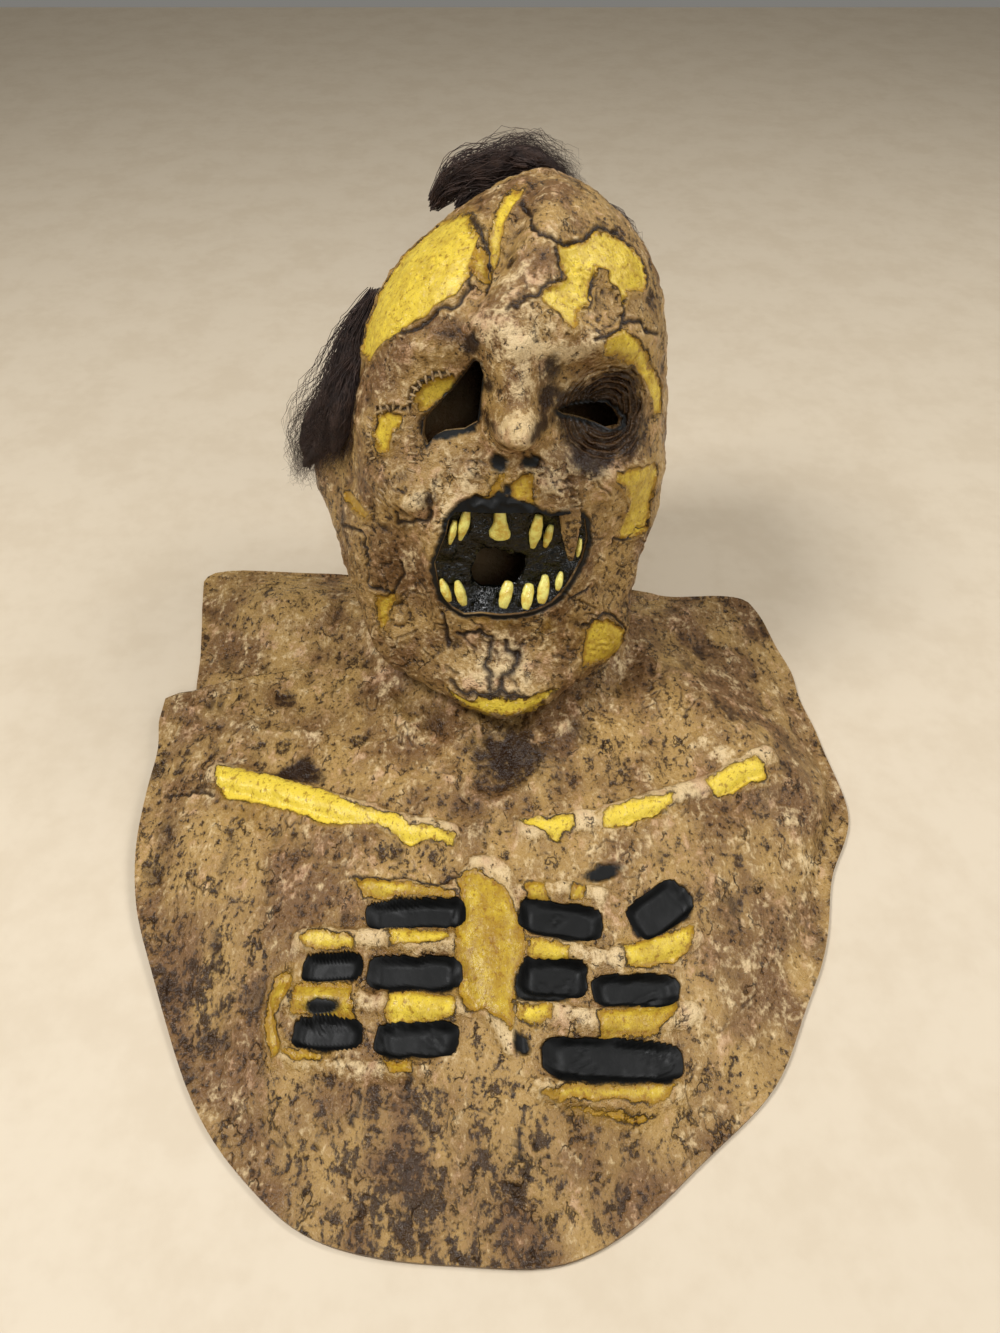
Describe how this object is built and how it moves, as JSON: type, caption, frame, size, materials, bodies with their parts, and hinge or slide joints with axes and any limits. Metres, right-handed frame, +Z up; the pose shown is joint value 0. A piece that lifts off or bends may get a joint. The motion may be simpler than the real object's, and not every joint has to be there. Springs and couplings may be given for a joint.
{
  "type": "zombie mask",
  "caption": "Over-the-head latex mask with a decayed undead face, open neck, teeth, tufts of hair and a chest bib with raised ribs, resting on its bib.",
  "frame": {"origin": "centre of the bounding box, on the surface the bib rests on", "axes": "+Z up, the face looks along -Y, +X is the wearer's left"},
  "size_m": [0.4266, 0.5172, 0.303],
  "materials": {
    "painted_latex": "painted and glossed latex, tan with dark brown wash and yellow bone",
    "tooth_enamel": "gloss",
    "crepe_hair": "frizzy crepe hair"
  },
  "bodies": {
    "root": {"latex_skin": "painted_latex", "tooth_upper_1": "tooth_enamel", "tooth_upper_2": "tooth_enamel", "tooth_upper_3": "tooth_enamel", "tooth_upper_4": "tooth_enamel", "tooth_upper_5": "tooth_enamel", "tooth_upper_6": "tooth_enamel", "tooth_lower_1": "tooth_enamel", "tooth_lower_2": "tooth_enamel", "tooth_lower_3": "tooth_enamel", "tooth_lower_4": "tooth_enamel", "tooth_lower_5": "tooth_enamel", "tooth_lower_6": "tooth_enamel", "hair_tuft_top": "crepe_hair", "hair_tuft_left": "crepe_hair", "hair_tuft_right": "crepe_hair"}
  },
  "joints": []
}
